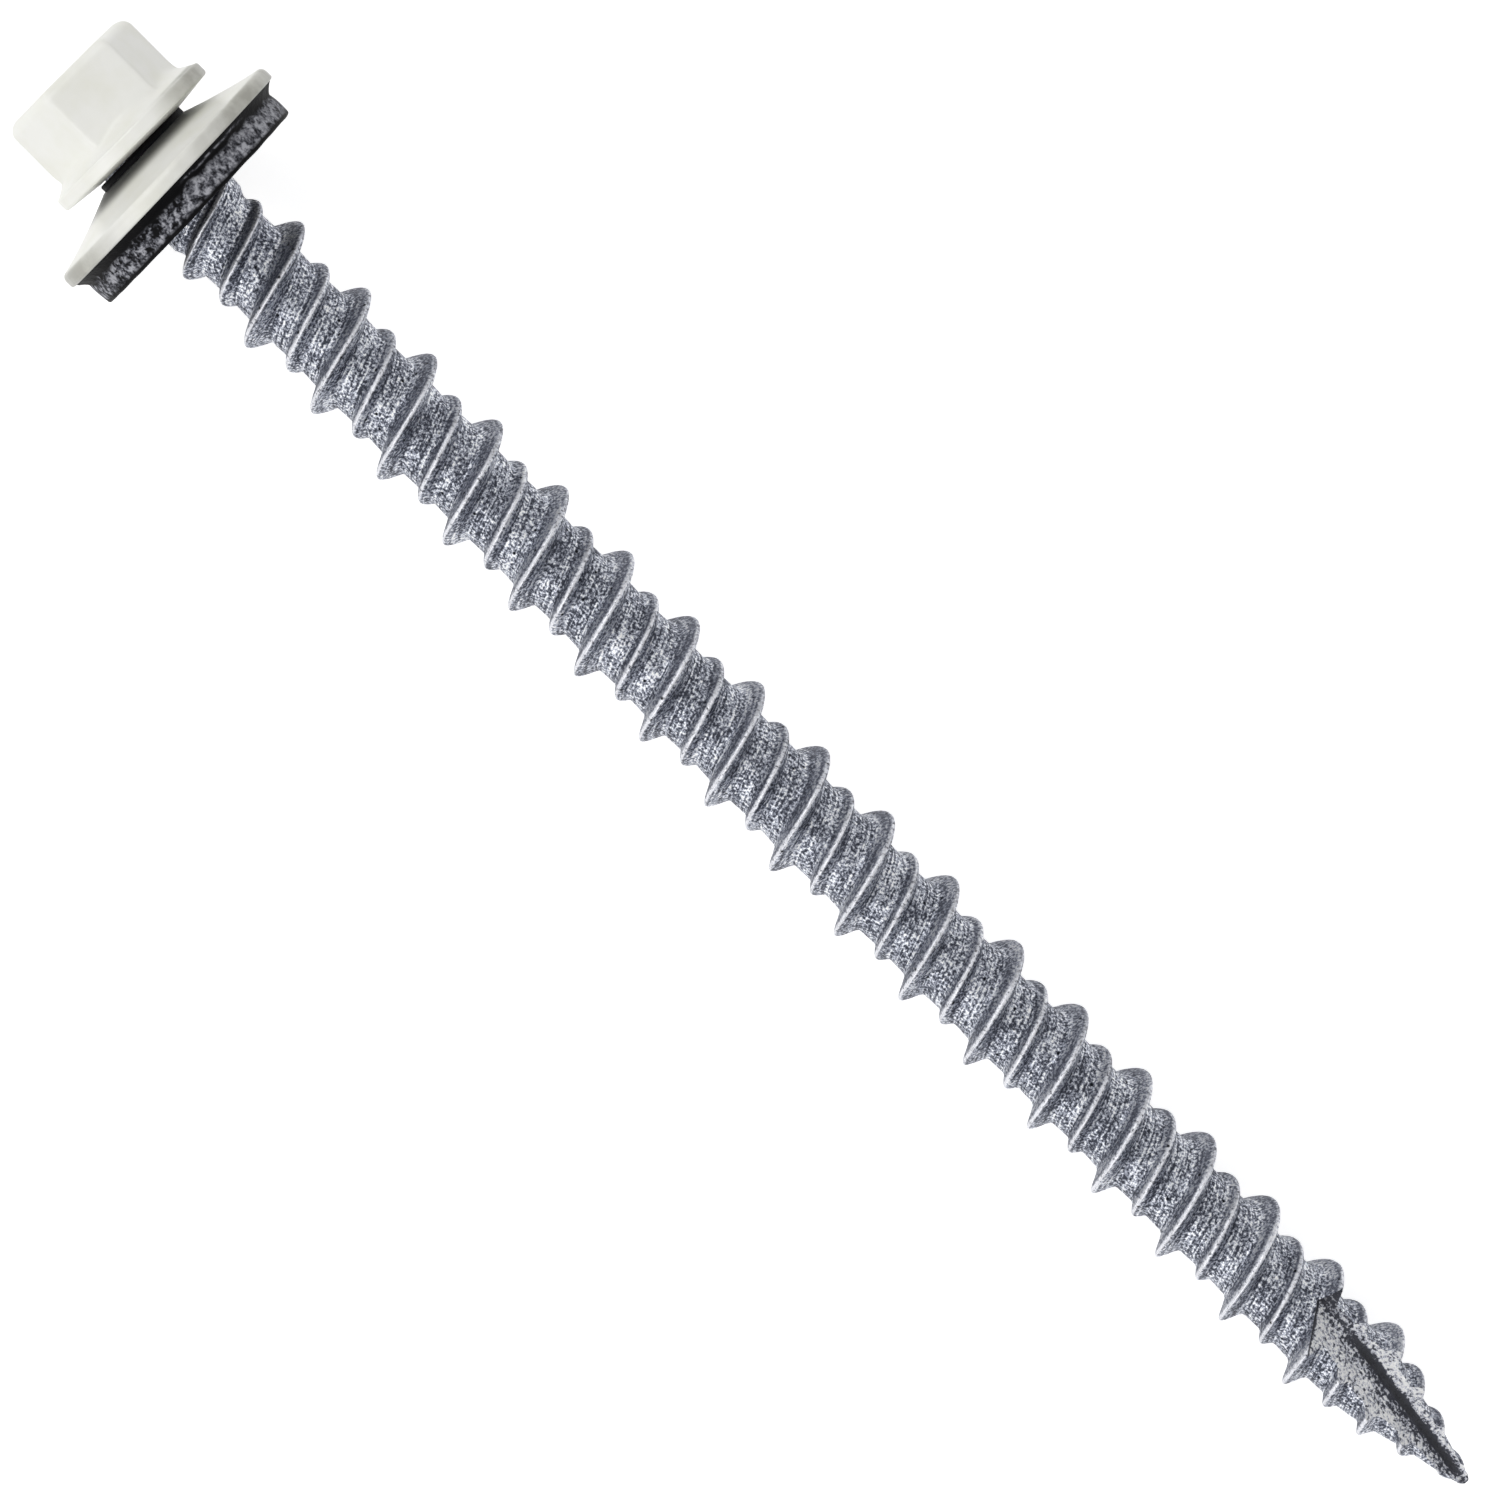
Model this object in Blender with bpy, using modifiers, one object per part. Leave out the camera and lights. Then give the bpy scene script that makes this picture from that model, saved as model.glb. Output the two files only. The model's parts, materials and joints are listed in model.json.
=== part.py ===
# A metal roofing screw with its sealing washer, lying on its side as it comes to rest.
# Every solid is drawn round the screw's axis, with the flat top of the head at height 0 and
# the point straight down. An empty then lays the whole screw down, head at -X, tip at +X.

import math

import bmesh
import bpy
from mathutils import Matrix, Vector

MM = 0.001

# Head, from its flat top down
HEX_ACROSS_FLATS = 6.35 * MM
HEX_HEIGHT = 3.23 * MM  # the flats, down to the skirt
HEX_TOP_ROUND = 0.50 * MM
HEX_CORNER_ROUND = 0.20 * MM
HEX_TURN = math.radians(8.6)
SKIRT_HEIGHT = 0.59 * MM  # hollow cone from the flats out to the flange's rim
SKIRT_HOLLOW = 0.12 * MM  # how far it bends in from a straight cone
FLANGE_DIAMETER = 8.80 * MM
FLANGE_THICKNESS = 0.70 * MM
FLANGE_ROUND = 0.12 * MM
FLANGE_CONE = 0.19 * MM  # the underside slopes down this far from its rim to the neck

# Plain neck under the flange, which the seal grips
NECK_DIAMETER = 4.07 * MM
NECK_LENGTH = 4.46 * MM
NECK_FILLET = 0.15 * MM

# Thread: two starts half a lead apart, one high and one low, right-handed
SCREW_LENGTH = 86.96 * MM  # from under the flange to the tip
LEAD = 4.233 * MM
ROOT_DIAMETER = 3.74 * MM
HIGH_THREAD_DIAMETER = 5.73 * MM
LOW_THREAD_DIAMETER = 4.60 * MM
CREST_WIDTH = 0.12 * MM
HIGH_FLANK_ANGLES = (math.radians(31), math.radians(27))  # head side, tip side
LOW_FLANK_ANGLES = (math.radians(46), math.radians(41))
THREAD_START = 3.51 * MM  # below the flange, where the ridges begin to rise
THREAD_RISE = 2.80 * MM  # length over which they reach their full height
FRONT_CREST = 8.68 * MM  # below the flange, where the high crest faces the front

# Point: the core and the ridges narrow on two cones, and one flute is milled along it
CORE_TAPER = 6.80 * MM
RIDGE_TAPER = 7.50 * MM
TIP_DIAMETER = 0.50 * MM
FLUTE_LENGTH = 11.05 * MM
FLUTE_TURN = math.radians(38.4)  # round the axis, from the front, where the flute starts
FLUTE_WALL_LEAN = math.radians(34)  # how far the broad wall leans from facing the front
FLUTE_TIP_FRONT = 0.10 * MM  # the flute's floor at the tip, off the axis
FLUTE_TIP_SIDE = -0.25 * MM

# Sealing washer: a domed steel cap with a rubber ring bonded under it
CAP_DIAMETER = 13.14 * MM
CAP_SHEET = 0.67 * MM
CAP_RISE = 1.14 * MM
CAP_STEEPENING = 0.25  # share of the rise that gathers towards the neck
CAP_EDGE_BREAK = 0.10 * MM
SEAL_SETBACK = 0.66 * MM  # the rubber's side lies this far inside the cap's rim
SEAL_THICKNESS = 1.67 * MM  # rubber below the cap's rim
SEAL_FLARE = 0.54 * MM  # how far the rubber spreads out where it meets the cap
SEAL_FLARE_HEIGHT = 0.50 * MM
SEAL_FLARE_CURVE = 1.5  # power of the curve that it narrows on
SEAL_EDGE_ROUND = 0.15 * MM
SEAL_MOUTH_ROUND = 0.60 * MM  # lead-in at the bottom of the bore
COLLAR_DIAMETER = 5.08 * MM  # rubber squeezed up round the neck, under the flange
COLLAR_HEIGHT = 0.42 * MM  # from the cap's top to the underside of the flange
WASHER_LEAN = math.radians(1.65)  # the washer sits a little askew on the neck

CLEARANCE = 0.30 * MM  # between pieces that touch
THREAD_STEPS = 24
HEAD_STEPS = 48
WASHER_STEPS = 36
CAP_CURVE_STEPS = 4
ROUND_STEPS = 3
SHARP_ANGLE = math.radians(32)
WELD = 0.001 * MM

# Sizes that follow from the ones above
FLANGE_RIM_BOTTOM = HEX_HEIGHT + SKIRT_HEIGHT + FLANGE_THICKNESS
HEAD_HEIGHT = FLANGE_RIM_BOTTOM + FLANGE_CONE
HEX_CORNER_RADIUS = HEX_ACROSS_FLATS / math.sqrt(3)
NECK_RADIUS = NECK_DIAMETER / 2
NECK_END = HEAD_HEIGHT + NECK_LENGTH
TIP = HEAD_HEIGHT + SCREW_LENGTH
ROOT_RADIUS = ROOT_DIAMETER / 2
TIP_RADIUS = TIP_DIAMETER / 2
HIGH_THREAD_RADIUS = HIGH_THREAD_DIAMETER / 2
CAP_RADIUS = CAP_DIAMETER / 2
COLLAR_RADIUS = COLLAR_DIAMETER / 2
CAP_BORE_RADIUS = COLLAR_RADIUS + CLEARANCE
CAP_TOP = HEAD_HEIGHT + COLLAR_HEIGHT
CAP_RIM_TOP = CAP_TOP + CAP_RISE
CAP_RIM_BOTTOM = CAP_RIM_TOP + CAP_SHEET
SEAL_RADIUS = CAP_RADIUS - SEAL_SETBACK
SEAL_BOTTOM = CAP_RIM_BOTTOM + SEAL_THICKNESS
SEAL_BORE_RADIUS = NECK_RADIUS + CLEARANCE


def clear_scene():
    for item in list(bpy.data.objects):
        bpy.data.objects.remove(item, do_unlink=True)


def new_collection(name):
    collection = bpy.data.collections.new(name)
    bpy.context.scene.collection.children.link(collection)
    return collection


def new_material(name, colour, roughness, metallic):
    material = bpy.data.materials.new(name)
    material.use_nodes = True
    shader = material.node_tree.nodes["Principled BSDF"]
    shader.inputs["Base Color"].default_value = (*colour, 1.0)
    shader.inputs["Roughness"].default_value = roughness
    shader.inputs["Metallic"].default_value = metallic
    return material


def new_object(name, mesh, collection, material):
    item = bpy.data.objects.new(name, mesh)
    collection.objects.link(item)
    mesh.materials.append(material)
    mesh.shade_smooth()
    mesh.set_sharp_from_angle(angle=SHARP_ANGLE)
    return item


def as_cutter(item):
    item.hide_render = True
    item.display_type = "WIRE"
    return item


def evaluated_mesh(item):
    bpy.context.view_layer.update()
    graph = bpy.context.evaluated_depsgraph_get()
    return bpy.data.meshes.new_from_object(item.evaluated_get(graph))


def swept(name, profile, steps, collection, material, lead=0.0, turns=1, closed=False):
    # Turns a profile of (radius, depth) points round the axis, rising by one lead a turn.
    mesh = bpy.data.meshes.new(name)
    points = [(radius, 0.0, -depth) for radius, depth in profile]
    edges = [(i, i + 1) for i in range(len(points) - 1)]
    if closed:
        edges.append((len(points) - 1, 0))
    mesh.from_pydata(points, edges, [])
    item = new_object(name, mesh, collection, material)
    screw = item.modifiers.new("Turn", "SCREW")
    screw.steps = steps
    screw.render_steps = steps
    screw.iterations = turns
    screw.screw_offset = lead
    screw.use_merge_vertices = True
    screw.merge_threshold = WELD
    return item


def arc(centre, radius, start, end, steps=ROUND_STEPS):
    # Points of a rounded edge, in (radius, depth), angles from outward towards the tip.
    angles = [start + (end - start) * i / steps for i in range(steps + 1)]
    return [(centre[0] + radius * math.cos(a), centre[1] + radius * math.sin(a)) for a in angles]


def boolean(item, tool, operation):
    modifier = item.modifiers.new(f"{operation.title()} {tool.name}", "BOOLEAN")
    modifier.operation = operation
    modifier.object = tool
    modifier.solver = "EXACT"
    modifier.material_mode = "TRANSFER"


def hex_drive(collection, material):
    mesh = bpy.data.meshes.new("hex_drive")
    form = bmesh.new()
    depth = HEX_HEIGHT + SKIRT_HEIGHT
    place = Matrix.Rotation(HEX_TURN, 4, "Z") @ Matrix.Translation((0, 0, -depth / 2))
    bmesh.ops.create_cone(
        form, cap_ends=True, segments=6, radius1=HEX_CORNER_RADIUS,
        radius2=HEX_CORNER_RADIUS, depth=depth, matrix=place,
    )
    weights = form.edges.layers.float.new("bevel_weight_edge")
    for edge in form.edges:
        heights = [vert.co.z for vert in edge.verts]
        if min(heights) > -WELD:
            edge[weights] = 1.0
        elif max(heights) > -WELD:
            edge[weights] = HEX_CORNER_ROUND / HEX_TOP_ROUND
    form.to_mesh(mesh)
    form.free()
    item = new_object("hex_drive", mesh, collection, material)
    bevel = item.modifiers.new("Rounded edges", "BEVEL")
    bevel.limit_method = "WEIGHT"
    bevel.width = HEX_TOP_ROUND
    bevel.segments = ROUND_STEPS
    return as_cutter(item)


def flange(collection, material):
    rim_top = HEX_HEIGHT + SKIRT_HEIGHT
    inner = HEX_ACROSS_FLATS / 2
    inset = FLANGE_DIAMETER / 2 - FLANGE_ROUND
    profile = [(0.0, HEX_HEIGHT)]
    for i in range(ROUND_STEPS):
        share = i / ROUND_STEPS
        hollow = 4 * SKIRT_HOLLOW * share * (1 - share)
        profile.append((inner + (inset - inner) * share - hollow, HEX_HEIGHT + SKIRT_HEIGHT * share))
    profile += arc((inset, rim_top + FLANGE_ROUND), FLANGE_ROUND, -math.pi / 2, 0)
    profile += arc((inset, FLANGE_RIM_BOTTOM - FLANGE_ROUND), FLANGE_ROUND, 0, math.pi / 2)
    profile += [(COLLAR_RADIUS, HEAD_HEIGHT), (0.0, HEAD_HEIGHT)]
    return as_cutter(swept("flange", profile, HEAD_STEPS, collection, material))


def neck(collection, material):
    # The fillet under the flange and a short cone down to the thread's root.
    top = HEAD_HEIGHT - FLANGE_THICKNESS / 2
    drop = NECK_RADIUS - ROOT_RADIUS
    profile = [(0.0, top), (NECK_RADIUS + NECK_FILLET, top)]
    profile += arc(
        (NECK_RADIUS + NECK_FILLET, HEAD_HEIGHT + NECK_FILLET), NECK_FILLET, -math.pi / 2, -math.pi,
    )
    profile += [(NECK_RADIUS, NECK_END), (ROOT_RADIUS - drop, NECK_END + 2 * drop)]
    profile.append((0.0, NECK_END + 2 * drop))
    return as_cutter(swept("neck", profile, HEAD_STEPS, collection, material))


def thread_profile():
    # One lead from the foot of the high ridge to the same foot a turn on, as
    # (radius, distance below the high crest).
    half = CREST_WIDTH / 2
    low_radius = LOW_THREAD_DIAMETER / 2
    ridges = (
        (0.0, HIGH_THREAD_RADIUS, HIGH_FLANK_ANGLES),
        (LEAD / 2, low_radius, LOW_FLANK_ANGLES),
    )
    points = []
    for centre, radius, (head_flank, tip_flank) in ridges:
        height = radius - ROOT_RADIUS
        points.append((ROOT_RADIUS, centre - half - height * math.tan(head_flank)))
        points.append((radius, centre - half))
        points.append((radius, centre + half))
        points.append((ROOT_RADIUS, centre + half + height * math.tan(tip_flank)))
    points.append((ROOT_RADIUS, points[0][1] + LEAD))
    return points


def core_radius(depth):
    taper = (ROOT_RADIUS - TIP_RADIUS) * (TIP - depth) / CORE_TAPER
    return min(ROOT_RADIUS, TIP_RADIUS + taper)


def ridge_limit(depth):
    taper = (HIGH_THREAD_RADIUS - TIP_RADIUS) * (TIP - depth) / RIDGE_TAPER
    return max(TIP_RADIUS + taper - core_radius(depth), 0.0)


def thread_point(place):
    # Pulls a point of the even thread in to the run-out, the two cones and the blunt tip.
    # What lies past the tip is drawn back to the ring round its flat end.
    depth = min(-place.z, TIP)
    rise = (depth - HEAD_HEIGHT - THREAD_START) / THREAD_RISE
    ridge = (place.xy.length - ROOT_RADIUS) * min(max(rise, 0.0), 1.0)
    radius = core_radius(depth) + min(ridge, ridge_limit(depth))
    around = place.xy.normalized() * radius
    return Vector((around.x, around.y, -depth))


def close_end(form, depth):
    # Shrinks a copy of the open end at this depth onto the axis.
    open_edges = [
        edge for edge in form.edges
        if edge.is_boundary and abs(edge.verts[0].co.z + depth) < LEAD
    ]
    sides = bmesh.ops.extrude_edge_only(form, edges=open_edges)["geom"]
    verts = [item for item in sides if isinstance(item, bmesh.types.BMVert)]
    bmesh.ops.pointmerge(form, verts=verts, merge_co=(0.0, 0.0, -depth))


def threaded_shank(collection, material):
    profile = thread_profile()
    foot = HEAD_HEIGHT + FRONT_CREST + profile[0][1]
    buried = NECK_END - (NECK_RADIUS - ROOT_RADIUS)
    top_end = foot - LEAD * (math.ceil((foot - buried) / LEAD) + 1)
    turns = math.ceil((TIP - top_end) / LEAD) + 1
    start = top_end + turns * LEAD - profile[0][1]
    lowered = [(radius, start + drop) for radius, drop in profile]
    sweep = swept(
        "thread_sweep", lowered, THREAD_STEPS, collection, material, lead=LEAD, turns=turns,
    )
    mesh = evaluated_mesh(sweep)
    bpy.data.objects.remove(sweep)

    form = bmesh.new()
    form.from_mesh(mesh)
    for vert in form.verts:
        vert.co = thread_point(vert.co)
    bmesh.ops.remove_doubles(form, verts=form.verts, dist=WELD)
    close_end(form, top_end + LEAD / 2)
    close_end(form, TIP)
    bmesh.ops.recalc_face_normals(form, faces=form.faces)
    form.to_mesh(mesh)
    form.free()
    mesh.materials.clear()
    return new_object("screw", mesh, collection, material)


def flute(collection, material):
    # A square bar whose lower edge runs along the floor of the flute leaves its two walls.
    start = Vector((
        ROOT_RADIUS * math.cos(FLUTE_TURN), ROOT_RADIUS * math.sin(FLUTE_TURN), FLUTE_LENGTH - TIP,
    ))
    end = Vector((FLUTE_TIP_FRONT, FLUTE_TIP_SIDE, -TIP))
    along = (end - start).normalized()
    broad = Vector((math.sin(FLUTE_WALL_LEAN), -math.cos(FLUTE_WALL_LEAN), 0.0))
    broad = (broad - along * broad.dot(along)).normalized()
    steep = broad.cross(along).normalized()
    length = FLUTE_LENGTH + LEAD
    width = HIGH_THREAD_DIAMETER
    sides = (along * length, broad * width, steep * width)
    place = Matrix(sides).transposed().to_4x4()
    place.translation = start + (sides[0] + sides[1] + sides[2]) / 2

    mesh = bpy.data.meshes.new("flute")
    form = bmesh.new()
    bmesh.ops.create_cube(form, size=1.0, matrix=place)
    bmesh.ops.recalc_face_normals(form, faces=form.faces)
    form.to_mesh(mesh)
    form.free()
    return as_cutter(new_object("flute", mesh, collection, material))


def cap_top_depth(radius):
    # The dome steepens a little from the rim towards the neck.
    share = (CAP_RADIUS - radius) / (CAP_RADIUS - CAP_BORE_RADIUS)
    rise = (1 - CAP_STEEPENING) * share + CAP_STEEPENING * share ** 2
    return CAP_RIM_TOP - CAP_RISE * rise


def dome(inner, outer, drop):
    steps = CAP_CURVE_STEPS
    radii = [inner + (outer - inner) * i / steps for i in range(steps + 1)]
    return [(radius, cap_top_depth(radius) + drop) for radius in radii]


def washer_cap(collection, material):
    edge = CAP_EDGE_BREAK
    profile = dome(CAP_BORE_RADIUS, CAP_RADIUS - edge, 0.0)
    profile += [(CAP_RADIUS, CAP_RIM_TOP + edge), (CAP_RADIUS, CAP_RIM_BOTTOM - edge)]
    profile += reversed(dome(CAP_BORE_RADIUS, CAP_RADIUS - edge, CAP_SHEET))
    return swept("washer_cap", profile, WASHER_STEPS, collection, material, closed=True)


def rubber_seal(collection, material):
    under_flange = HEAD_HEIGHT + CLEARANCE
    profile = [(SEAL_BORE_RADIUS, under_flange), (COLLAR_RADIUS, under_flange)]
    profile += dome(COLLAR_RADIUS, SEAL_RADIUS + SEAL_FLARE, CAP_SHEET + CLEARANCE)
    top = profile[-1][1]
    for i in range(1, ROUND_STEPS + 1):
        share = i / ROUND_STEPS
        spread = SEAL_FLARE * (1 - share) ** SEAL_FLARE_CURVE
        profile.append((SEAL_RADIUS + spread, top + SEAL_FLARE_HEIGHT * share))
    profile += arc(
        (SEAL_RADIUS - SEAL_EDGE_ROUND, SEAL_BOTTOM - SEAL_EDGE_ROUND), SEAL_EDGE_ROUND,
        0, math.pi / 2,
    )
    mouth = (SEAL_BORE_RADIUS + SEAL_MOUTH_ROUND, SEAL_BOTTOM - SEAL_MOUTH_ROUND)
    profile += arc(mouth, SEAL_MOUTH_ROUND, math.pi / 2, math.pi)
    return swept("rubber_seal", profile, WASHER_STEPS, collection, material, closed=True)


def placed_points(item):
    mesh = evaluated_mesh(item)
    points = [item.matrix_world @ vert.co for vert in mesh.vertices]
    bpy.data.meshes.remove(mesh)
    return points


def lay_down(root, screw, washer_pieces):
    # Back to the floor, the screw rests on the washer's rim and on the thread near the tip.
    # The tilt is the least that brings a point of the thread down to the rim's level.
    washer_points = [point for piece in washer_pieces for point in placed_points(piece)]
    screw_points = placed_points(screw)
    reach = min(point.x for point in washer_points)
    rim = min(washer_points, key=lambda point: (round((point.x - reach) / WELD), point.z))
    middle = -TIP / 2
    slopes = [
        (point.x - rim.x) / (rim.z - point.z) for point in screw_points if point.z < middle
    ]
    tilt = math.atan(min(slopes))
    turn = Matrix.Rotation(tilt - math.pi / 2, 4, "Y")
    laid = [turn @ point for point in washer_points + screw_points]
    lows = [min(point[axis] for point in laid) for axis in range(3)]
    highs = [max(point[axis] for point in laid) for axis in range(3)]
    root.rotation_euler = turn.to_euler()
    root.location = (-(lows[0] + highs[0]) / 2, -(lows[1] + highs[1]) / 2, -lows[2])


def new_empty(name, collection, parent=None):
    empty = bpy.data.objects.new(name, None)
    collection.objects.link(empty)
    empty.parent = parent
    return empty


def main():
    clear_scene()
    parts = new_collection("roofing_screw")
    cutters = new_collection("cutters")
    paint = new_material("ivory_paint", (0.78, 0.78, 0.70), 0.35, 0.0)
    zinc = new_material("zinc_coated_steel", (0.30, 0.32, 0.35), 0.45, 1.0)
    rubber = new_material("black_rubber", (0.03, 0.03, 0.035), 0.7, 0.0)

    root = new_empty("screw_axis", parts)
    screw = threaded_shank(parts, zinc)
    boolean(screw, neck(cutters, zinc), "UNION")
    boolean(screw, flange(cutters, paint), "UNION")
    boolean(screw, hex_drive(cutters, paint), "UNION")
    boolean(screw, flute(cutters, zinc), "DIFFERENCE")
    for item in (screw, *cutters.objects):
        item.parent = root

    seat = new_empty("washer_seat", parts, root)
    seat.location = (0.0, 0.0, -CAP_RIM_BOTTOM)
    seat.rotation_euler = (WASHER_LEAN, 0.0, 0.0)
    washer_pieces = [washer_cap(parts, paint), rubber_seal(parts, rubber)]
    for piece in washer_pieces:
        piece.parent = seat
        piece.location = (0.0, 0.0, CAP_RIM_BOTTOM)
        piece.rotation_euler = (0.0, 0.0, math.pi / WASHER_STEPS)
    lay_down(root, screw, washer_pieces)
    bpy.context.view_layer.update()


main()
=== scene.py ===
import json
import math

import bmesh
import bpy
from mathutils import Matrix, Vector, noise


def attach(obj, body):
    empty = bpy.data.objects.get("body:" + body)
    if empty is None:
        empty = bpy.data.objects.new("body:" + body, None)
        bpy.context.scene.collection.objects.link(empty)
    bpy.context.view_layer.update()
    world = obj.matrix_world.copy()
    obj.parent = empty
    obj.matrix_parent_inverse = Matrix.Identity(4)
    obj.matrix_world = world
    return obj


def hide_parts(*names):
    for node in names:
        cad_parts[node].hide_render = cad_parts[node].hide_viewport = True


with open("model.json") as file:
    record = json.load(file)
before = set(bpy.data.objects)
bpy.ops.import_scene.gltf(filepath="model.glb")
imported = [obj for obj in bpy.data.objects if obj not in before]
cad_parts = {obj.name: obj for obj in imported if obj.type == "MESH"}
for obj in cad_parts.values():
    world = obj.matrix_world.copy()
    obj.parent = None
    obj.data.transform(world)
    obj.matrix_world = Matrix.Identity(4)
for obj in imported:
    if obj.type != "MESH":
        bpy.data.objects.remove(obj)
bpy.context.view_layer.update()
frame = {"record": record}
mm = 0.001


def toLinear(hexColour):
    channels = [int(hexColour[i:i + 2], 16) / 255 for i in (1, 3, 5)]
    return tuple(c / 12.92 if c <= 0.04045 else ((c + 0.055) / 1.055) ** 2.4 for c in channels) + (1.0,)


def addNode(tree, kind, links=None, **settings):
    # links gives inputs by name or number, or as a list in order; each is a value, a socket,
    # or a node whose first output it takes
    node = tree.nodes.new(kind)
    for name, value in settings.items():
        setattr(node, name, value)
    given = dict(enumerate(links)) if isinstance(links, list) else links or {}
    for key, value in given.items():
        if isinstance(value, bpy.types.Node):
            value = value.outputs[0]
        if isinstance(value, bpy.types.NodeSocket):
            tree.links.new(value, node.inputs[key])
        else:
            node.inputs[key].default_value = value
    return node


def emptyMaterial(name):
    material = bpy.data.materials.new(name)
    material.use_nodes = True
    material.node_tree.nodes.clear()
    return material, material.node_tree


def paintRamp(node, stops):
    ramp = node.color_ramp
    for end, (position, colour) in zip(ramp.elements, (stops[0], stops[-1])):
        end.position, end.color = position, toLinear(colour)
    for position, colour in stops[1:-1]:
        ramp.elements.new(position).color = toLinear(colour)
    return node


def newObject(name, data):
    thing = bpy.data.objects.new(name, data)
    bpy.context.scene.collection.objects.link(thing)
    return thing


def newPiece(name, form, materials):
    # Turns a finished bmesh into an object at the origin
    mesh = bpy.data.meshes.new(name)
    form.to_mesh(mesh)
    form.free()
    for material in materials:
        mesh.materials.append(material)
    return newObject(name, mesh)


# The record's mount on the head's flat top gives the screw's axis. Everything is drawn with the
# axis along Z, the head's top at 0, the tip down and +X facing the viewer, and then laid down.
headMount = next(m for m in frame["record"]["mounts"] if m["name"] == "head_top")
axisTilt = math.atan2(headMount["axis"][2], -headMount["axis"][0])
layDown = Matrix.Translation(headMount["pos_m"]) @ Matrix.Rotation(axisTilt - math.pi / 2, 4, "Y")


def turnBack(tree):
    # Object coordinates turned back along the screw's axis, in millimetres
    back = layDown.inverted()
    return addNode(tree, "ShaderNodeMapping", {
        "Vector": addNode(tree, "ShaderNodeTexCoord").outputs["Object"],
        "Location": tuple(v / mm for v in back.to_translation()),
        "Rotation": tuple(back.to_euler()),
        "Scale": (1 / mm,) * 3,
    })


def ringMesh(name, rings, place, material, closedLoop=False):
    # Joins rings of points, each the same length, into a skin. Open ends close on their middle.
    form = bmesh.new()
    rows = [[form.verts.new(place @ Vector(p)) for p in ring] for ring in rings]
    pairs = list(zip(rows, rows[1:]))
    if closedLoop:
        pairs.append((rows[-1], rows[0]))
    count = len(rows[0])
    for upper, lower in pairs:
        for i in range(count):
            j = (i + 1) % count
            form.faces.new((upper[i], lower[i], lower[j], upper[j]))
    if not closedLoop:
        for row in (rows[0], rows[-1]):
            middle = form.verts.new(sum((v.co for v in row), Vector()) / count)
            for i in range(count):
                form.faces.new((row[i], row[(i + 1) % count], middle))
    bmesh.ops.recalc_face_normals(form, faces=form.faces)
    piece = newPiece(name, form, [material])
    piece.data.shade_smooth()
    return piece


def arcPoints(radius, depth, roundness, start, end, steps):
    # (radius, depth) points of a rounded edge, angles from outward towards the tip
    angles = [math.radians(start + (end - start) * i / steps) for i in range(steps + 1)]
    return [(radius + roundness * math.cos(a), depth + roundness * math.sin(a)) for a in angles]


def easeIn(value):
    value = max(0.0, min(1.0, value))
    return value * value * (3 - 2 * value)


shank = {
    "Lead": 4.233, "Front Crest": 13.43,  # mm, the high crest faces the viewer there
    "Root Radius": 1.885, "Root Wave": 0.03,
    "High Radius": 2.885, "High Head Slope": -2.46, "High Tip Slope": 2.74,
    "High Crest Round": 2.20, "High Foot Round": 0.50,
    "Low Radius": 2.30, "Low Head Slope": -1.72, "Low Tip Slope": 1.86,
    "Low Crest Round": 1.60, "Low Foot Round": 0.28,
    "Neck Radius": 2.09, "Neck End": 9.17, "Neck Cone": 0.40,
    "Thread Start": 6.90, "Thread Rise": 4.00,
    "Top Depth": 4.40, "Tip Depth": 91.67, "Tip Radius": 0.25, "Tip Round": 0.25,
    "Core Taper": 6.80, "Ridge Taper": 7.50, "Point Blend": 0.15,
    "Point Shift": 0.09,  # the point was pinched a little off the axis
    "Side Shift": 0.025,  # and the whole shank sits off the head's axis
    "Crest Line": 0.045, "Crest Line Edge": 0.060,  # half width of the rubbed and highlit line, and its edge
    "Line Shift": 0.04,  # it lies to the head side of the crest
    "High Flank": 0.50, "Low Flank": 0.40, "Flank Edge": 0.16,  # painted shade on the head sides of the ridges
    "Unevenness": 0.035, "Uneven Length": 1.3,  # of the rolled skin
}
shankSteps = {"Leads": 25, "Steps Round": 80, "Steps A Lead": 36}
slopes = ("High Head Slope", "High Tip Slope", "Low Head Slope", "Low Tip Slope")

zincLook = {
    "dark": "#4A4D57", "body": "#9094A1", "light": "#D8DCE7", "fleck": "#FFFFFF",
    # the worn colour is the crests' rubbed wear with a painted highlight; the flank colour is a painted
    # shade on the ridges' head sides
    "pit": "#1D1F25", "wornAndHighlit": "#F8F9FF", "flank": "#696C77", "flankShadeShare": 0.60,
    "grainSize": 0.13,  # mm, clumps of zinc flakes, drawn a little coarser than real
    "cloudSize": 0.8, "cloudShare": 0.20,  # mm, and its weight beside the grain's 1
    "rollSize": 0.11,  # mm, width of the lines that the rolling dies left along the thread
    "rollLength": 0.8,  # mm down the axis, some 3 mm along the line
    "rollShare": 0.55,
    "skinLevels": (0.61, 1.15),  # of grain, cloud and lines, dark to fleck
    "grainLevels": (0.35, 0.65),  # of the grain alone, rough to smooth
    "lineBreak": (0.30, 0.46),  # of the grain, where the rubbed and highlit line ends
    "pitSize": 0.6,  # mm between pits
    "pitRim": (0.09, 0.17), "pitsLeftOut": 0.55,  # shares of that distance and of the pits
    "roughness": (0.66, 0.38), "rubbedRoughness": 0.26, "rubbedMetallic": 0.5,
    "relief": 0.055,  # mm
}


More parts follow.
